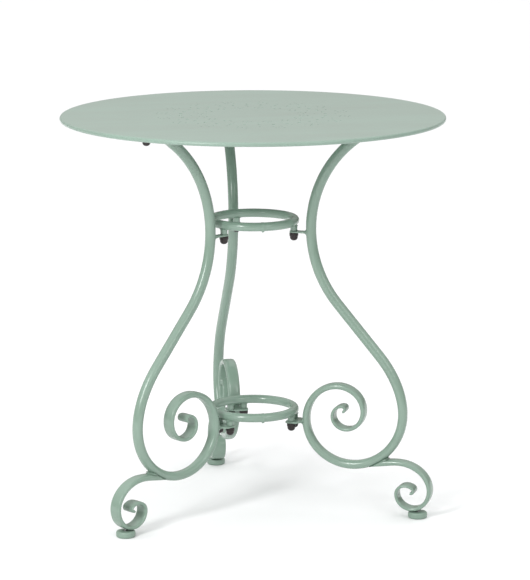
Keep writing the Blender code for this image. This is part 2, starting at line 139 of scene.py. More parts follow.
# Rings, tabs and fasteners
RING_RADIUS = 0.0765
RING_TUBE = 0.008
RING_Z = {"upper": 0.5375, "lower": 0.184}
RING_TO_TAB = 0.009
LOWER_STUD_ANGLE = 10.0
RING_STEPS = 128
RING_SIDES = 28
TAB = 0.003
UPPER_TAB_HALF = 0.008
LOWER_TAB_HALF = 0.021
LOWER_TAB_INNER = 0.0655
COLLAR_RADIUS = 0.0065
STUD_RADIUS = 0.003
CAP_RADIUS = 0.0082
CAP_WALL = 0.0014
CAP_HEIGHT = 0.015
FASTENER_SIDES = 40
RING_STUD_FLARE = 0.0014
TOP_STUD_FLARE = 0.0010
# A collar under the sheet stops this far below it, which leaves room for the stud's welded end
TOP_STUD_ROOM = 0.0030
WAIST_WELD = (0.0042, 0.0068, 56.0)
SCROLL_WELD = 0.0044

# Camera, in the frame of the table
CAMERA_TURN = -13.43
CAMERA_DISTANCE = 5.3818
CAMERA_HEIGHT = 1.4696
FOCAL_PIXELS = 2991.47
PICTURE_HEIGHT = 580.0
PITCH = 11.170
YAW = 0.233

# Light: the sky goes from its horizon to its zenith, and the camera sees plain white
HORIZON = (0.100, 0.085, 0.062, 1.0)
ZENITH = (1.60, 1.60, 1.61, 1.0)
WHITE = (1.0, 1.0, 1.0, 1.0)
WHITE_STRENGTH = 1.05
FLOOR_SHADES = ((0.925, 0.925, 0.935, 1.0), (0.935, 0.935, 0.945, 1.0))
FLOOR_SIZE = 14.0


# --- Small helpers


def sin(degrees):
    return math.sin(math.radians(degrees))


def cos(degrees):
    return math.cos(math.radians(degrees))


def linear(red, green, blue):
    """An 8-bit display colour as linear red, green, blue, alpha."""

    def channel(value):
        value /= 255.0
        return value / 12.92 if value <= 0.04045 else ((value + 0.055) / 1.055) ** 2.4

    return (channel(red), channel(green), channel(blue), 1.0)


def between(values, at):
    """The value at a fractional place in a list, straight between its neighbours."""
    limit = len(values) - 1
    at = min(max(at, 0.0), float(limit))
    low = min(int(at), limit - 1)
    return values[low] + (values[low + 1] - values[low]) * (at - low)


def smooth_step(value):
    value = min(max(value, 0.0), 1.0)
    return value * value * (3.0 - 2.0 * value)


# --- Materials


# Sockets of the colour Mix node, whose names are shared between its data types
MIX_FACTOR = 0
MIX_FIRST = 6
MIX_SECOND = 7
MIX_RESULT = 2


class Nodes:
    """A Principled material with a few short ways to add nodes."""

    def __init__(self, name):
        self.material = bpy.data.materials.new(name)
        self.material.use_nodes = True
        self.tree = self.material.node_tree
        self.shader = self.tree.nodes["Principled BSDF"]
        self.place = self.add("ShaderNodeTexCoord").outputs["Object"]

    def add(self, kind, **settings):
        node = self.tree.nodes.new(kind)
        for key, value in settings.items():
            setattr(node, key, value)
        return node

    def link(self, source, target):
        self.tree.links.new(source, target)

    def noise(self, scale, detail=2.0, roughness=0.5, stretch=None):
        texture = self.add("ShaderNodeTexNoise")
        texture.inputs["Scale"].default_value = scale
        texture.inputs["Detail"].default_value = detail
        texture.inputs["Roughness"].default_value = roughness
        source = self.place
        if stretch:
            mapping = self.add("ShaderNodeMapping")
            mapping.inputs["Scale"].default_value = stretch
            self.link(source, mapping.inputs["Vector"])
            source = mapping.outputs["Vector"]
        self.link(source, texture.inputs["Vector"])
        return texture.outputs["Fac"]

    def spread(self, source, low, high, out_low, out_high):
        node = self.add("ShaderNodeMapRange")
        self.link(source, node.inputs["Value"])
        ends = {"From Min": low, "From Max": high, "To Min": out_low, "To Max": out_high}
        for socket, value in ends.items():
            node.inputs[socket].default_value = value
        return node.outputs["Result"]

    def blend(self, factor, first, second):
        node = self.add("ShaderNodeMix", data_type="RGBA")
        self.link(factor, node.inputs[MIX_FACTOR])
        for socket, value in ((node.inputs[MIX_FIRST], first), (node.inputs[MIX_SECOND], second)):
            if isinstance(value, tuple):
                socket.default_value = value
            else:
                self.link(value, socket)
        return node.outputs[MIX_RESULT]

    def bump(self, height, strength, distance, below=None):
        node = self.add("ShaderNodeBump")
        node.inputs["Strength"].default_value = strength
        node.inputs["Distance"].default_value = distance
        self.link(height, node.inputs["Height"])
        if below is not None:
            self.link(below, node.inputs["Normal"])
        return node.outputs["Normal"]

    def set(self, **values):
        for key, value in values.items():
            socket = self.shader.inputs[key.replace("_", " ")]
            if hasattr(value, "is_linked"):
                self.link(value, socket)
            else:
                socket.default_value = value


def paint(name, light, dark, rough, peel=1.0, streak=None, dust=0.0):
    """Powder coat: two close tones in soft clouds, orange peel, uneven gloss and a dusty sheen."""
    n = Nodes(name)
    clouds = n.spread(n.noise(9.0, 3.0, 0.55, streak), 0.30, 0.70, 0.0, 1.0)
    tone = n.blend(clouds, dark, light)
    gloss = n.spread(n.noise(14.0, 2.0), 0.25, 0.75, rough - 0.03, rough + 0.03)
    coarse = n.bump(n.noise(380.0, 1.0), 0.16 * peel, 0.0004)
    fine = n.bump(n.noise(1600.0, 1.0), 0.12 * peel, 0.0001, coarse)
    n.set(Base_Color=tone, Roughness=gloss, Normal=fine)
    n.shader.inputs["Specular IOR Level"].default_value = 0.6
    n.shader.inputs["Sheen Weight"].default_value = dust
    n.shader.inputs["Sheen Roughness"].default_value = 0.35
    return n.material


def moulded(name, colour, lighter):
    """Dark moulded plastic with a fine matt grain and faint scuffs."""
    n = Nodes(name)
    scuff = n.spread(n.noise(160.0, 4.0, 0.65), 0.52, 0.75, 0.0, 0.5)
    n.set(
        Base_Color=n.blend(scuff, colour, lighter),
        Roughness=n.spread(n.noise(300.0, 2.0), 0.3, 0.7, 0.34, 0.48),
        Normal=n.bump(n.noise(2600.0, 1.0), 0.12, 0.0002),
    )
    return n.material


def zinc(name):
    """Bright zinc plating with a faint spangle and turned marks."""
    n = Nodes(name)
    spangle = n.spread(n.noise(240.0, 2.0), 0.3, 0.7, 0.0, 1.0)
    n.set(
        Base_Color=n.blend(spangle, linear(188, 189, 190), linear(158, 160, 162)),
        Roughness=n.spread(n.noise(500.0, 2.0), 0.3, 0.7, 0.26, 0.42),
        Normal=n.bump(n.noise(900.0, 1.0, 0.5, (1.0, 1.0, 6.0)), 0.10, 0.0002),
    )
    n.shader.inputs["Metallic"].default_value = 1.0
    return n.material


PAINT_LIGHT = linear(132, 155, 141)
PAINT_DARK = linear(126, 148, 134)
FRAME_PAINT = paint("frame_powder_coat", PAINT_LIGHT, PAINT_DARK, 0.21)
# Painted light: the top's two tones are the frame paint's tones made a little lighter, standing for the
# brighter look the broad top has under the pale sky
TOP_LIGHT_LIT_COPY = linear(134, 158, 145)
TOP_DARK_LIT_COPY = linear(131, 151, 139)
TOP_STREAK = (0.35, 1.8, 1.0)
TOP_PAINT_LIT_COPY = paint("top_powder_coat_lit_copy", TOP_LIGHT_LIT_COPY, TOP_DARK_LIT_COPY, 0.38, peel=1.4, streak=TOP_STREAK, dust=0.30)
PAD_PAINT = paint("pad_powder_coat", PAINT_LIGHT, PAINT_DARK, 0.42)
CAP_PLASTIC = moulded("cap_plastic", linear(27, 17, 16), linear(48, 35, 32))
ZINC = zinc("zinc_plate")


# --- Building meshes


def finish_mesh(name, verts, faces, turn=None, sharp=32.0):
    """One mesh with outward faces, smooth except at its sharp edges."""
    bm = bmesh.new()
    made = [bm.verts.new(v) for v in verts]
    for face in faces:
        bm.faces.new([made[i] for i in face])
    bmesh.ops.recalc_face_normals(bm, faces=bm.faces)
    mesh = bpy.data.meshes.new(name)
    bm.to_mesh(mesh)
    bm.free()
    if turn is not None:
        mesh.transform(turn)
    mesh.shade_smooth()
    mesh.set_sharp_from_angle(angle=math.radians(sharp))
    return mesh


def piece(name, mesh, material, replaced=(), body=BODY):
    obj = bpy.data.objects.new(name, mesh)
    bpy.context.scene.collection.objects.link(obj)
    mesh.materials.clear()
    mesh.materials.append(material)
    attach(obj, body)
    if replaced:
        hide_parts(*replaced)
    return obj


def lathe(profile, segments, centre=(0.0, 0.0, 0.0)):
    """A closed profile turned about a vertical axis. Points on the axis become single points."""
    cx, cy, cz = centre
    verts = []
    rings = []
    for radius, z in profile:
        if radius < 1e-9:
            rings.append([len(verts)])
            verts.append((cx, cy, cz + z))
            continue
        rings.append([len(verts) + i for i in range(segments)])
        for i in range(segments):
            angle = 2.0 * math.pi * i / segments
            verts.append((cx + radius * math.cos(angle), cy + radius * math.sin(angle), cz + z))
    faces = []
    on_axis = len(rings[0]) == 1
    pairs = list(zip(rings, rings[1:])) if on_axis else list(zip(rings, rings[1:] + rings[:1]))
    for first, second in pairs:
        for i in range(segments):
            j = (i + 1) % segments
            if len(first) == 1 and len(second) == 1:
                continue
            if len(first) == 1:
                faces.append((first[0], second[i], second[j]))
            elif len(second) == 1:
                faces.append((first[i], second[0], first[j]))
            else:
                faces.append((first[i], second[i], second[j], first[j]))
    return verts, faces


def walk(start, heading, moves, step=3.0, stride=0.006):
    """Points (x, z, heading) of a bent line. A move is a length or a bend (turn, first, last radius)."""
    x, z = start
    angle = math.radians(heading)
    points = [(x, z, angle)]
    for move in moves:
        if isinstance(move, float):
            count = max(1, math.ceil(move / stride))
            for _ in range(count):
                x += move / count * math.cos(angle)
                z += move / count * math.sin(angle)
                points.append((x, z, angle))
            continue
        turn, first, last = move
        count = max(2, math.ceil(abs(turn) / step))
        part = math.radians(turn) / count
        for i in range(count):
            radius = first + (last - first) * (i + 0.5) / count
            chord = 2.0 * radius * math.sin(abs(part) / 2.0)
            x += chord * math.cos(angle + part / 2.0)
            z += chord * math.sin(angle + part / 2.0)
            angle += part
            points.append((x, z, angle))
    return points


def flat_width(thickness):
    return thickness + math.pi * (TUBE - thickness) / 2.0


def section_point(thickness, fullness, angle, wall=0.0):
    """A point (across, along the normal) on a pressed tube's outline, or on its bore."""
    half = thickness / 2.0 - wall
    half_flat = (flat_width(thickness) - thickness) / 2.0
    c = math.cos(angle)
    flat = math.sin(math.pi / 2.0 * min(1.0, max(-1.0, FLANK * c)))
    return fullness * (half_flat * flat + half * c), half * math.sin(angle)


def section(thickness, fullness=1.0, wall=0.0):
    angles = [2.0 * math.pi * (i + 0.5) / SECTION for i in range(SECTION)]
    return [section_point(thickness, fullness, angle, wall) for angle in angles]


def in_plane(x, z, heading, across, along):
    """A point of a section as a point of the leg's own frame."""
    return (x - along * math.sin(heading), across, z + along * math.cos(heading))


def tube(stations, first_points=None, bore=0.0, wall=0.0014):
    """A pressed tube lofted through stations (x, z, heading, thickness, fullness).

    With a bore, its last end is open at least that deep, behind a rounded lip.
    """
    rings = []
    for x, z, heading, thickness, fullness in stations:
        rings.append([in_plane(x, z, heading, *p) for p in section(thickness, fullness)])
    if first_points:
        rings[0] = first_points
    if bore:
        x, z, heading, thickness, _ = stations[-1]
        lip = 0.0004
        outer = section(thickness - 0.0007, 0.985)
        inner = section(thickness, 0.97, wall - 0.0002)
        ahead = (lip * math.cos(heading), lip * math.sin(heading))
        for outline in (outer, inner):
            ring = [in_plane(x, z, heading, *p) for p in outline]
            rings.append([(px + ahead[0], py, pz + ahead[1]) for px, py, pz in ring])
        run = 0.0
        before = stations[-1]
        for station in reversed(stations):
            run += math.hypot(station[0] - before[0], station[1] - before[1])
            before = station
            rings.append([in_plane(*station[:3], *p) for p in section(station[3], 0.95, wall)])
            if run > bore:
                break
    return skin(rings)


def skin(rings, closed=False):
    """Faces between rings of equal length, with both ends filled unless the rings close on themselves."""
    size = len(rings[0])
    verts = [v for ring in rings for v in ring]
    faces = []
    count = len(rings)
    for r in range(count if closed else count - 1):
        a = r * size
        b = (r + 1) % count * size
        for i in range(size):
            j = (i + 1) % size
            faces.append((a + i, a + j, b + j, b + i))
    if not closed:
        faces.append(tuple(range(size)))
        faces.append(tuple((count - 1) * size + i for i in range(size)))
    return verts, faces


def fillet(stations, bend=5, root=0.45):
    """A weld bead in a crease. A station is (crease point, reach along one face, reach along the other).

    Its root is buried behind the crease, its edges dip into the faces and its open side is hollow.
    """
    dip = 0.10
    hollow = 0.16
    rings = []
    for point, first, second in stations:
        point, first, second = Vector(point), Vector(first), Vector(second)
        ring = [point - root * (first + second)]
        start = point + first
        end = point + second
        ring.append(start - dip * second)
        for i in range(bend + 1):
            t = i / bend
            pull = point + hollow * (first + second)
            ring.append((1 - t) ** 2 * start + 2 * t * (1 - t) * pull + t**2 * end)
        ring.append(end - dip * first)
        rings.append([tuple(p) for p in ring])
    return skin(rings)


def turn_of(side):
    """From a leg's own plane to its place in the table."""
    foot = Matrix.Translation((PAD_PLACE, 0.0, 0.0))
    swing = foot @ Matrix.Rotation(-math.radians(LEG_SWING[side]), 4, "Z") @ foot.inverted()
    return Matrix.Rotation(math.radians(SIDES[side]), 4, "Z") @ swing


def ring_stud_place(side, turn):
    """A point under a ring's middle line, turned from where the leg's plane crosses the ring."""
    x = PAD_PLACE * (1.0 - cos(LEG_SWING[side]))
    y = -PAD_PLACE * sin(LEG_SWING[side])
    angle = math.degrees(math.asin(-y / RING_RADIUS)) + turn
    return x + RING_RADIUS * cos(angle), y + RING_RADIUS * sin(angle)


# --- The top


def top_profile():
    """The sheet's middle line runs outward, turns down and rolls under."""
    middle = walk(
        (FLAT_RADIUS, TOP_Z - SHEET / 2.0),
        0.0,
        (
            TOP_RADIUS - SHEET / 2.0 - EDGE_BEND - FLAT_RADIUS,
            (-90.0, EDGE_BEND, EDGE_BEND),
            EDGE_DROP,
            (-180.0, EDGE_ROLL, EDGE_ROLL),
            EDGE_LIP,
        ),
        step=12.0,
        stride=0.02,
    )
    half = SHEET / 2.0
    outer = [(x - half * math.sin(a), z + half * math.cos(a)) for x, z, a in middle]
    inner = [(x + half * math.sin(a), z - half * math.cos(a)) for x, z, a in middle]
    return outer + inner[::-1]


def hole_places():
    """(radius from the axis, azimuth, hole radius) of every punched hole."""
    holes = []
    for k in range(COLUMNS):
        azimuth = COLUMN_PHASE + 360.0 / COLUMNS * k
        holes.append((MAIN_RING, azimuth, BIG_HOLE))
        if k % 2:
            for radius in SINGLE_RINGS:
                holes.append((radius, azimuth, SMALL_HOLE))
            continue
        for middle, cluster in ((INNER_CLUSTER, INNER_CLUSTER_HOLES), (OUTER_CLUSTER, OUTER_CLUSTER_HOLES)):
            for across, out in cluster:
                radius = middle + out
                holes.append((radius, azimuth + math.degrees(across / radius), SMALL_HOLE))
    return holes


def punch_profile(hole):
    """A punch that just eases the hole's two edges and reaches past both faces of the sheet."""
    high = TOP_Z
    low = TOP_Z - SHEET
    wide = hole + HOLE_FLARE + PUNCH_REACH
    return [
        (0.0, high + PUNCH_REACH),
        (wide, high + PUNCH_REACH),
        (hole, high - HOLE_FLARE),
        (hole, low + HOLE_FLARE),
        (wide, low - PUNCH_REACH),
        (0.0, low - PUNCH_REACH),
    ]


def make_top():
    profile = top_profile()
    verts, faces = lathe(profile, TOP_SEGMENTS)
    # The profile starts and ends at FLAT_RADIUS. The wall that would join its ends there is dropped, and each
    # end is filled with a flat disc instead.
    walls = (len(profile) - 1) * TOP_SEGMENTS
    faces = faces[:walls]
    faces.append(tuple(range(TOP_SEGMENTS)))
    faces.append(tuple(walls + i for i in range(TOP_SEGMENTS)))
    top = piece("top_sheet", finish_mesh("top_sheet", verts, faces), TOP_PAINT_LIT_COPY, ("tabletop",))
    cut_verts, cut_faces = [], []
    for radius, azimuth, hole in hole_places():
        centre = (radius * cos(azimuth), radius * sin(azimuth), 0.0)
        punch_verts, punch_faces = lathe(punch_profile(hole), HOLE_SEGMENTS, centre)
        offset = len(cut_verts)
        cut_verts += punch_verts
        cut_faces += [tuple(i + offset for i in face) for face in punch_faces]
    cutter = bpy.data.objects.new("punch", finish_mesh("punch", cut_verts, cut_faces))
    bpy.context.scene.collection.objects.link(cutter)
    boolean = top.modifiers.new("Punch", "BOOLEAN")
    boolean.operation = "DIFFERENCE"
    boolean.solver = "EXACT"
    boolean.object = cutter
    evaluated = top.evaluated_get(bpy.context.evaluated_depsgraph_get())
    punched = bpy.data.meshes.new_from_object(evaluated)
    top.modifiers.clear()
    top.data = punched
    bpy.data.objects.remove(cutter, do_unlink=True)
    punched.shade_smooth()
    punched.set_sharp_from_angle(angle=math.radians(25.0))


# --- Legs


def leg_stations():
    """The leg from its flat upper end to the tip of its scroll."""
    rise = (END_Z - WAIST[1] - TOP_BEND) / (UPPER_BEND - TOP_BEND)
    sweep = math.degrees(math.asin(rise))
    bend_end = WAIST[0] + UPPER_BEND * (1.0 - cos(sweep)) + TOP_BEND * cos(sweep)
    end = STUD_PLACE + END_MARGIN
    flat = end - bend_end
    round_radius = flat_width(END_THICKNESS) / 2.0
    rounded = 0.0135
    stations = []
    for place in (0.00015, 0.0006, 0.0015, 0.003, 0.005, 0.0075, 0.0105, rounded):
        fullness = math.sqrt(max(0.0, 1.0 - max(0.0, (round_radius - place) / round_radius) ** 2))
        edge = 0.0006 if place < 0.001 else 0.0
        stations.append((end - place, END_Z, math.pi, END_THICKNESS - edge, fullness))
    path = walk(
        (end - rounded, END_Z),
        180.0,
        (flat - rounded, (90.0 - sweep, TOP_BEND, TOP_BEND), (sweep, UPPER_BEND, UPPER_BEND))
        + ((LEG_SPREAD, LOWER_BEND, LOWER_BEND), LEG_STRAIGHT)
        + SCROLL_BENDS,
    )
    run = rounded
    before = path[0]
    for x, z, heading in path[1:]:
        run += math.hypot(x - before[0], z - before[1])
        before = (x, z, heading)
        if z < SCROLL_STARTS:
            turned = (math.radians(270.0) - heading) / math.radians(90.0)
            if turned < 0.0:
                spread = -turned * 90.0 / LEG_SPREAD
                thickness = SCROLL_THICKNESS[0] + (TUBE - SCROLL_THICKNESS[0]) * min(spread, 1.0)
            else:
                thickness = between(SCROLL_THICKNESS, turned)
        else:
            thickness = END_THICKNESS + (TUBE - END_THICKNESS) * smooth_step((run - flat) / PRESSED_LENGTH)
        stations.append((x, z, heading, thickness, 1.0))
    return stations


def foot_stations():
    """The foot strip from its root on the leg to the tip of its scroll."""
    stations = []
    for x, z, heading in walk(FOOT_ROOT, FOOT_HEADING, (FOOT_STRAIGHT,) + FOOT_BENDS):
        thickness = between(FOOT_THICKNESS, -heading / math.radians(45.0))
        if heading > 0.0:
            thickness += FOOT_ROOT_EXTRA * heading / math.radians(FOOT_HEADING)
        stations.append((x, z, heading, thickness, 1.0))
    return stations


def underside(leg):
    """The leg's lower face in its plane, from its outermost point to its lowest."""
    line = []
    highest = 0.3
    for x, z, heading, thickness, _ in leg:
        if math.radians(178.0) <= heading <= math.radians(262.0) and z < highest:
            line.append((x - thickness / 2.0 * math.sin(heading), z + thickness / 2.0 * math.cos(heading)))
    return line


def slide_to(line, start, ahead):
    """How far along a direction a point meets a line, nearest first, and the line's own direction there."""
    found = []
    for (ax, az), (bx, bz) in zip(line, line[1:]):
        ex, ez = bx - ax, bz - az
        cross = ahead[0] * ez - ahead[1] * ex
        if abs(cross) < 1e-12:
            continue
        slide = ((ax - start[0]) * ez - (az - start[1]) * ex) / cross
        share = ((ax - start[0]) * ahead[1] - (az - start[1]) * ahead[0]) / cross
        if 0.0 <= share <= 1.0:
            size = math.hypot(ex, ez)
            found.append((slide, (-ex / size, -ez / size)))
    return min(found, key=lambda item: abs(item[0]))


def foot_root_points(foot, line):
    """The foot's first section, slid along its heading until it bites into the leg's underside."""
    x, z, heading, thickness, _ = foot[0]
    ahead = (math.cos(heading), math.sin(heading))
    points = []
    for across, along in section(thickness, 0.93):
        start = (x - along * ahead[1], z + along * ahead[0])
        slide, _ = slide_to(line, start, ahead)
        slide -= FOOT_BITE
        points.append((start[0] + slide * ahead[0], across, start[1] + slide * ahead[1]))
    return points


def foot_bead(foot, line):
    """The weld across the top of the foot's root, tallest in the middle."""
    x, z, heading, thickness, _ = foot[0]
    ahead = (math.cos(heading), math.sin(heading))
    top_edge = (x - thickness / 2.0 * ahead[1], z + thickness / 2.0 * ahead[0])
    slide, along_leg = slide_to(line, top_edge, ahead)
    crease = (top_edge[0] + slide * ahead[0], top_edge[1] + slide * ahead[1])
    count = 12
    half_width = 0.0116
    bead = []
    for i in range(-count, count + 1):
        part = abs(i / count)
        wobble = 1.0 + 0.02 * math.sin(2.1 * i)
        up = (0.0088 - 0.0040 * part**3) * wobble
        out = (0.0080 - 0.0022 * part**6) * wobble
        along_face = (up * along_leg[0], 0.0, up * along_leg[1])
        along_foot = (out * ahead[0], 0.0, out * ahead[1])
        bead.append(((crease[0], half_width * i / count, crease[1]), along_face, along_foot))
    return fillet(bead, 6)


def make_legs():
    leg = leg_stations()
    foot = foot_stations()
    line = underside(leg)
    shapes = (
        ("leg_tube_", tube(leg, bore=0.010), "leg_"),
        ("foot_strip_", tube(foot, foot_root_points(foot, line), bore=0.009), "foot_scroll_"),
        ("foot_weld_", foot_bead(foot, line), None),
    )
    for side in SIDES:
        for stem, shape, node in shapes:
            name = stem + side
            stands_for = (node + side,) if node else ()
            piece(name, finish_mesh(name, *shape, turn_of(side)), FRAME_PAINT, stands_for)
    return leg


def pad_profile():
    """A puck with a bore for the screw, round shoulders and a small hollow under it."""
    bore = SCREW_RADIUS + 0.0006
    floor = 0.0055
    top = PAD_HEIGHT
    shoulder, shoulder_middle = 0.0034, PAD_RADIUS - 0.0036
    toe_out, toe_up, toe_middle = 0.0032, 0.0030, PAD_RADIUS - 0.0034
    outline = [(0.0, floor), (bore, floor), (bore, top - 0.0004), (bore + 0.0005, top)]
    outline.append((PAD_RADIUS - 0.0045, top))
    for i in range(7):
        angle = 90.0 - 15.0 * i
        outline.append((shoulder_middle + shoulder * cos(angle), top - shoulder + shoulder * sin(angle)))
    outline.append((PAD_RADIUS, top / 2.0))
    for i in range(7):
        angle = -15.0 * i
        outline.append((toe_middle + toe_out * cos(angle), toe_up + toe_up * sin(angle)))
    return outline + [(PAD_RADIUS - 0.0055, 0.0), (PAD_RADIUS - 0.0060, 0.0004), (0.0, 0.0004)]


def thread(radius, low, high, pitch, centre, segments=24):
    """A rod with a rolled helical thread, closed at both ends."""
    rows_per_turn = 8
    depth = 0.00055
    chamfer = 0.0004
    rows = max(rows_per_turn, int((high - low) / pitch * rows_per_turn))
    rings = []
    for r in range(rows + 1):
        z = low + (high - low) * r / rows
        ends = min(1.0, min(z - low, high - z) / (0.6 * pitch) + 0.15)
        ring = []
        for i in range(segments):
            turn = i / segments
            wave = abs(((z - low) / pitch - turn) % 1.0 - 0.5) * 2.0
            size = radius - depth * (1.0 - wave) - chamfer * (1.0 - ends)
            angle = 2.0 * math.pi * turn
            ring.append((centre[0] + size * math.cos(angle), centre[1] + size * math.sin(angle), z))
        rings.append(ring)
    return skin(rings)


def make_feet():
    for side, azimuth in SIDES.items():
        centre = (PAD_PLACE * cos(azimuth), PAD_PLACE * sin(azimuth), 0.0)
        body = "levelling_foot_" + side
        name = "foot_puck_" + side
        mesh = finish_mesh(name, *lathe(pad_profile(), PAD_SIDES, centre))
        piece(name, mesh, PAD_PAINT, ("foot_pad_" + side,), body)
        name = "foot_thread_" + side
        shape = thread(SCREW_RADIUS, SCREW_FOOT, SCREW_TOP, SCREW_PITCH, centre)
        piece(name, finish_mesh(name, *shape, None, 60.0), ZINC, ("foot_screw_" + side,), body)


# --- Rings, tabs and fasteners


def ring_section(angle, size_at, height):
    """One section of a ring at an angle round the table, with its size at each angle round the tube."""
    section_points = []
    for j in range(RING_SIDES):
        around = 2.0 * math.pi * j / RING_SIDES
        size = size_at(around)
        radius = RING_RADIUS + size * math.cos(around)
        section_points.append(
            (radius * math.cos(angle), radius * math.sin(angle), height + size * math.sin(around))
        )
    return section_points


def butt_weld(height):
    """The weld where the ring was closed: a low swelling, with a drip left below."""
    count = 6
    half_length = 0.0030
    rings = []
    for i in range(-count, count + 1):
        part = i / count
        angle = math.radians(-90.0) + half_length * i / count / RING_RADIUS
        swell = 0.0005 * math.sqrt(max(0.0, 1.0 - part**2)) - 0.00012

        def size_at(around):
            drip = 0.0022 * math.exp(-(((around - 1.5 * math.pi) / 0.30) ** 2)) * (1.0 - part**2)
            return RING_TUBE + swell + drip

        rings.append(ring_section(angle, size_at, height))
    return skin(rings)


def make_ring(level):
    height = RING_Z[level]
    angles = [2.0 * math.pi * i / RING_STEPS for i in range(RING_STEPS)]
    rings = [ring_section(angle, lambda around: RING_TUBE, height) for angle in angles]
    name = "ring_tube_" + level
    mesh = finish_mesh(name, *skin(rings, closed=True))
    piece(name, mesh, FRAME_PAINT, (level + "_ring",))
    name = "ring_weld_" + level
    piece(name, finish_mesh(name, *butt_weld(height), None, 50.0), FRAME_PAINT)


def arc(cx, cy, radius, start, end, count):
    """Points on an arc, angles in degrees."""
    angles = [start + (end - start) * i / count for i in range(count + 1)]
    return [(cx + radius * cos(angle), cy + radius * sin(angle)) for angle in angles]


def plate(outline, top, thickness, edge=0.0005):
    """A flat plate with slightly rounded edges from an outline that runs anticlockwise."""
    count = len(outline)

    def inset(amount):
        moved = []
        for i in range(count):
            before, here, after = outline[i - 1], outline[i], outline[(i + 1) % count]
            d1 = Vector((here[0] - before[0], here[1] - before[1])).normalized()
            d2 = Vector((after[0] - here[0], after[1] - here[1])).normalized()
            normal = Vector((-d1.y - d2.y, d1.x + d2.x)).normalized()
            scale = amount / max(0.5, normal.dot(Vector((-d1.y, d1.x))))
            moved.append((here[0] + normal.x * scale, here[1] + normal.y * scale))
        return moved

    rings = []
    ease = 0.3 * edge
    for amount, z in (
        (edge, top),
        (ease, top - ease),
        (0.0, top - edge),
        (0.0, top - thickness + edge),
        (ease, top - thickness + ease),
        (edge, top - thickness),
    ):
        rings.append([(x, y, z) for x, y in inset(amount)])
    return skin(rings)


def tab_top(level):
    """Height of the upper face of the tabs under a ring."""
    return RING_Z[level] - RING_TUBE - RING_TO_TAB


def upper_tab_shape(side):
    """A strip with a round inner end, whose outer end follows the leg's tube."""
    reach = TUBE / 2.0 - 0.0012
    wrap = 57.0
    outline = arc(ring_stud_place(side, 0.0)[0], 0.0, UPPER_TAB_HALF, 90.0, 270.0, 16)
    outline += arc(WAIST[0], 0.0, reach, 180.0 + wrap, 180.0 - wrap, 12)
    return plate(outline, tab_top("upper"), TAB)


def lower_tab_shape(face):
    """A wide plate with round inner corners, drawn in to the width of the leg's inner face."""
    half = LOWER_TAB_HALF
    inner_corner = 0.006
    outer_corner = 0.0055
    outline = [(face + 0.0015, -0.0100), (face + 0.0015, 0.0100)]
    outline += [(face - 0.0010, 0.0112), (0.0905, 0.0165)]
    outline += arc(0.0835, half - outer_corner, outer_corner, 30.0, 90.0, 4)
    outline += arc(LOWER_TAB_INNER + inner_corner, half - inner_corner, inner_corner, 90.0, 180.0, 8)
    outline += [(x, -y) for x, y in reversed(outline[2:])]
    return plate(outline, tab_top("lower"), TAB)


def bead_size(size, part, waviness):
    """A weld bead's size along its length, from -1 to 1: smaller at its ends and a little uneven."""
    return size * (1.0 - 0.5 * abs(part) ** 4) * (1.0 + 0.03 * math.sin(waviness))


def round_weld(radius, z, up, rise, reach, spread, shift):
    """A bead round the leg's tube, on one side of a tab."""
    count = 12
    stations = []
    for i in range(-count, count + 1):
        angle = spread * i / count
        out = Vector((-cos(angle), sin(angle), 0.0))
        size = bead_size(1.0, i / count, 1.9 * i)
        point = (shift + radius * out.x, radius * out.y, z)
        along_tab = Vector((-1.0, 0.35 * sin(angle), 0.0))
        stations.append((point, (0.0, 0.0, up * rise * size), reach * size * along_tab))
    return fillet(stations)


def leg_at(leg, height):
    """The station of the leg's inner scroll face that is nearest to a height."""
    inner = [s for s in leg if math.radians(30.0) < s[2] < math.radians(130.0)]
    return min(inner, key=lambda s: abs(s[1] - height))


def flat_weld(station, z, up, size):
    """A bead along the inner face of the pressed leg, on one side of a tab."""
    x, _, heading, thickness, _ = station
    tilt = math.cos(heading)
    count = 10
    spread = math.radians(62.0)
    stations = []
    for i in range(-count, count + 1):
        angle = math.pi / 2.0 + spread * i / count
        across, along = section_point(thickness, 1.0, angle)
        out = Vector((-math.sin(angle), 0.5 * math.cos(angle), 0.0)).normalized()
        bead = bead_size(size, i / count, 2.3 * i)
        rise = Vector((up * tilt, 0.0, up)).normalized()
        stations.append(((x - along, across, z), bead * rise, 1.2 * bead * out))
    return fillet(stations)


def stud_profile(collar, flare, grip):
    """Collar with a weld flare at its top and ring grooves for the thread. Zero is the clamped face."""
    into_ring = 0.0028
    thread_length = 0.0055
    groove = 0.0005
    outline = [(0.0, collar + into_ring), (COLLAR_RADIUS - 0.0015, collar + into_ring)]
    for i in range(5):
        angle = 18.0 * i
        out = COLLAR_RADIUS + flare * (1.0 - sin(angle))
        outline.append((out, collar + 0.0004 - flare * (1.0 - cos(angle))))
    outline += [(COLLAR_RADIUS, 0.0008), (COLLAR_RADIUS - 0.0004, 0.0002), (STUD_RADIUS, 0.0002)]
    z = -grip
    outline.append((STUD_RADIUS, z))
    while z > -grip - thread_length:
        outline += [(STUD_RADIUS - groove, z - groove), (STUD_RADIUS, z - 2.0 * groove)]
        z -= 2.0 * groove
    return outline + [(STUD_RADIUS - 0.0006, z - groove), (0.0, z - groove)]


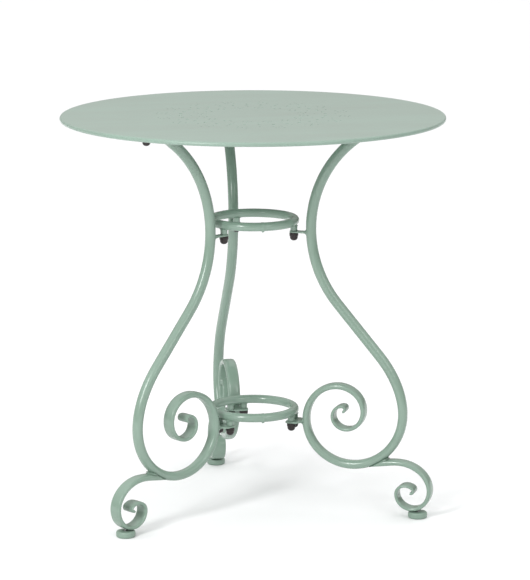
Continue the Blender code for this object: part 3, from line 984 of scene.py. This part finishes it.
def cap_profile():
    """A plastic cap, open at its top, with a skirt, a small step and a domed end."""
    inside = CAP_RADIUS - CAP_WALL
    dome = CAP_RADIUS - 0.0010
    dome_top, dome_drop = 0.0086, 0.0064
    outline = [(0.0, -0.0092), (inside - 0.001, -0.0092), (inside, -0.0082), (inside, -0.0003)]
    outline += [(CAP_RADIUS - 0.0004, -0.0003), (CAP_RADIUS - 0.0001, -0.0005), (CAP_RADIUS, -0.0010)]
    outline += [(CAP_RADIUS, -0.0056), (CAP_RADIUS - 0.0002, -0.0062), (CAP_RADIUS - 0.0008, -0.0070)]
    outline += [(dome, -0.0078)]
    for i in range(1, 10):
        angle = 10.0 * i
        outline.append((dome * cos(angle) ** 0.85, -dome_top - dome_drop * sin(angle)))
    return outline + [(0.0, -CAP_HEIGHT)]


def make_fastener(stem, x, y, turn, collar_face, clamped_face, collar, flare):
    """A stud and a cap on one axis, and the CAD nut between them in zinc."""
    centre = turn @ Vector((x, y, 0.0))
    grip = collar_face - clamped_face
    shape = lathe(stud_profile(collar, flare, grip), FASTENER_SIDES, (centre.x, centre.y, collar_face))
    name = stem % "collar_stud"
    piece(name, finish_mesh(name, *shape), FRAME_PAINT, (stem % "stud",))
    shape = lathe(cap_profile(), FASTENER_SIDES, (centre.x, centre.y, clamped_face))
    name = stem % "cap_cover"
    piece(name, finish_mesh(name, *shape, None, 40.0), CAP_PLASTIC, (stem % "cap",))
    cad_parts[stem % "nut"].data.materials.clear()
    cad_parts[stem % "nut"].data.materials.append(ZINC)


def make_joints(leg):
    """The tabs, welds and fasteners that hold each leg to the rings and to the top."""
    upper = tab_top("upper")
    lower = tab_top("lower")
    station = leg_at(leg, lower - TAB / 2.0)
    lower_tab = lower_tab_shape(station[0] - station[3] / 2.0)
    under = END_Z + END_THICKNESS / 2.0
    top_collar = TOP_Z - SHEET - under - TOP_STUD_ROOM
    for side in SIDES:
        turn = turn_of(side)
        name = "waist_tab_" + side
        mesh = finish_mesh(name, *upper_tab_shape(side), turn)
        piece(name, mesh, FRAME_PAINT, ("upper_tab_" + side,))
        for word, z, up in (("over", upper, 1.0), ("under", upper - TAB, -1.0)):
            shape = round_weld(TUBE / 2.0 - 0.0004, z, up, *WAIST_WELD, WAIST[0])
            name = "waist_weld_" + word + "_" + side
            piece(name, finish_mesh(name, *shape, turn), FRAME_PAINT)
        name = "scroll_tab_" + side
        piece(name, finish_mesh(name, *lower_tab, turn), FRAME_PAINT, ("lower_tab_" + side,))
        for word, z, up in (("over", lower, 1.0), ("under", lower - TAB, -1.0)):
            name = "scroll_weld_" + word + "_" + side
            mesh = finish_mesh(name, *flat_weld(station, z, up, SCROLL_WELD), turn)
            piece(name, mesh, FRAME_PAINT)
        x, y = ring_stud_place(side, 0.0)
        make_fastener("upper_%s_" + side, x, y, turn, upper, upper - TAB, RING_TO_TAB, RING_STUD_FLARE)
        for number, way in ((1, 1.0), (2, -1.0)):
            x, y = ring_stud_place(side, way * LOWER_STUD_ANGLE)
            stem = "lower_%s_" + side + "_" + str(number)
            make_fastener(stem, x, y, turn, lower, lower - TAB, RING_TO_TAB, RING_STUD_FLARE)
        clamped = under - END_THICKNESS
        make_fastener("top_%s_" + side, STUD_PLACE, 0.0, turn, under, clamped, top_collar, TOP_STUD_FLARE)


# --- Stage, light and camera


def make_stage():
    size = FLOOR_SIZE
    verts = [(-size, -size, 0.0), (size, -size, 0.0), (size, size, 0.0), (-size, size, 0.0)]
    mesh = bpy.data.meshes.new("studio_floor")
    mesh.from_pydata(verts, [], [(0, 1, 2, 3)])
    floor = bpy.data.objects.new("studio_floor", mesh)
    bpy.context.scene.collection.objects.link(floor)
    n = Nodes("studio_floor")
    shade = n.spread(n.noise(3.0, 2.0), 0.3, 0.7, 0.0, 1.0)
    n.set(Base_Color=n.blend(shade, *FLOOR_SHADES), Roughness=0.9)
    n.shader.inputs["Specular IOR Level"].default_value = 0.1
    mesh.materials.append(n.material)


def make_world():
    """A soft sky, pale above and dim at the horizon, that the camera itself sees as plain white."""
    world = bpy.data.worlds.new("studio")
    bpy.context.scene.world = world
    world.use_nodes = True
    tree = world.node_tree
    tree.nodes.clear()
    out = tree.nodes.new("ShaderNodeOutputWorld")
    coordinates = tree.nodes.new("ShaderNodeTexCoord")
    parts = tree.nodes.new("ShaderNodeSeparateXYZ")
    ramp = tree.nodes.new("ShaderNodeMapRange")
    tint = tree.nodes.new("ShaderNodeMix")
    tint.data_type = "RGBA"
    tint.inputs[MIX_FIRST].default_value = HORIZON
    tint.inputs[MIX_SECOND].default_value = ZENITH
    soft = tree.nodes.new("ShaderNodeBackground")
    white = tree.nodes.new("ShaderNodeBackground")
    white.inputs["Color"].default_value = WHITE
    white.inputs["Strength"].default_value = WHITE_STRENGTH
    path = tree.nodes.new("ShaderNodeLightPath")
    mix = tree.nodes.new("ShaderNodeMixShader")
    tree.links.new(coordinates.outputs["Generated"], parts.inputs["Vector"])
    tree.links.new(parts.outputs["Z"], ramp.inputs["Value"])
    tree.links.new(ramp.outputs["Result"], tint.inputs[MIX_FACTOR])
    tree.links.new(tint.outputs[MIX_RESULT], soft.inputs["Color"])
    tree.links.new(path.outputs["Is Camera Ray"], mix.inputs["Fac"])
    tree.links.new(soft.outputs["Background"], mix.inputs[1])
    tree.links.new(white.outputs["Background"], mix.inputs[2])
    tree.links.new(mix.outputs["Shader"], out.inputs["Surface"])


def area_light(name, azimuth, elevation, distance, width, height, power, target=(0.0, 0.0, 0.4)):
    """A soft box. Azimuth is measured from +X, towards +Y."""
    data = bpy.data.lights.new(name, "AREA")
    data.shape = "RECTANGLE"
    data.size = width
    data.size_y = height
    data.energy = power
    light = bpy.data.objects.new(name, data)
    bpy.context.scene.collection.objects.link(light)
    aim = Vector(target)
    place = aim + distance * Vector(
        (cos(elevation) * cos(azimuth), cos(elevation) * sin(azimuth), sin(elevation))
    )
    light.location = place
    light.rotation_euler = (aim - place).to_track_quat("-Z", "Y").to_euler()


def make_camera():
    data = bpy.data.cameras.new("camera")
    data.sensor_width = 36.0
    data.lens = FOCAL_PIXELS * data.sensor_width / PICTURE_HEIGHT
    data.clip_end = 60.0
    camera = bpy.data.objects.new("camera", data)
    bpy.context.scene.collection.objects.link(camera)
    turn = Matrix.Rotation(math.radians(CAMERA_TURN), 3, "Z")
    ahead = turn @ Vector((sin(YAW) * cos(PITCH), cos(YAW) * cos(PITCH), -sin(PITCH)))
    right = turn @ Vector((cos(YAW), -sin(YAW), 0.0))
    up = right.cross(ahead)
    basis = Matrix((right, up, -ahead)).transposed().to_4x4()
    place = turn @ Vector((0.0, -CAMERA_DISTANCE, CAMERA_HEIGHT))
    camera.matrix_world = Matrix.Translation(place) @ basis
    bpy.context.scene.camera = camera


make_camera()
make_top()
leg_line = make_legs()
make_feet()
for ring_level in RING_Z:
    make_ring(ring_level)
make_joints(leg_line)
make_stage()
make_world()
CAMERA_SIDE = CAMERA_TURN - 90.0
area_light("key", CAMERA_SIDE - 33.0, elevation=27.0, distance=3.2, width=0.6, height=1.3, power=50.0)
area_light("fill", CAMERA_SIDE + 38.0, elevation=25.0, distance=3.2, width=0.5, height=1.2, power=10.0)

bpy.context.scene.view_settings.view_transform = "Standard"
bpy.context.scene.view_settings.look = "None"
